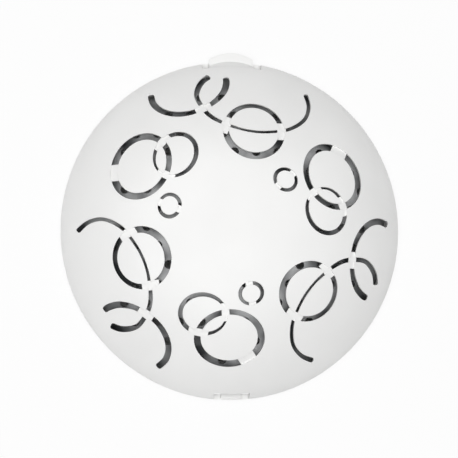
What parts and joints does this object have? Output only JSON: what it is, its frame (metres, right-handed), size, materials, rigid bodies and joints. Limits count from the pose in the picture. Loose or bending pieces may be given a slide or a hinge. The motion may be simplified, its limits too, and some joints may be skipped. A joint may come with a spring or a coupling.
{
  "type": "round washroom deodorizer with slotted cover",
  "caption": "Round washroom deodorizer: a white domed cover with ring-shaped slots, a grey perforated screen behind them and a flat wall base with a finger tab and a hook.",
  "frame": {"origin": "on the axis of the dome, at the back face of the base", "axes": "+Z along the axis of the dome, away from the back face; +Y towards the finger tab, which is at the top when the part hangs on a wall"},
  "size_m": [0.15, 0.1539, 0.031],
  "materials": {
    "cover_plastic": "satin white",
    "screen_vinyl": "semi-gloss grey vinyl",
    "base_plastic": "satin white"
  },
  "bodies": {
    "root": {"front_cover": "cover_plastic", "deodorizer_screen": "screen_vinyl", "back_base": "base_plastic"}
  },
  "joints": []
}
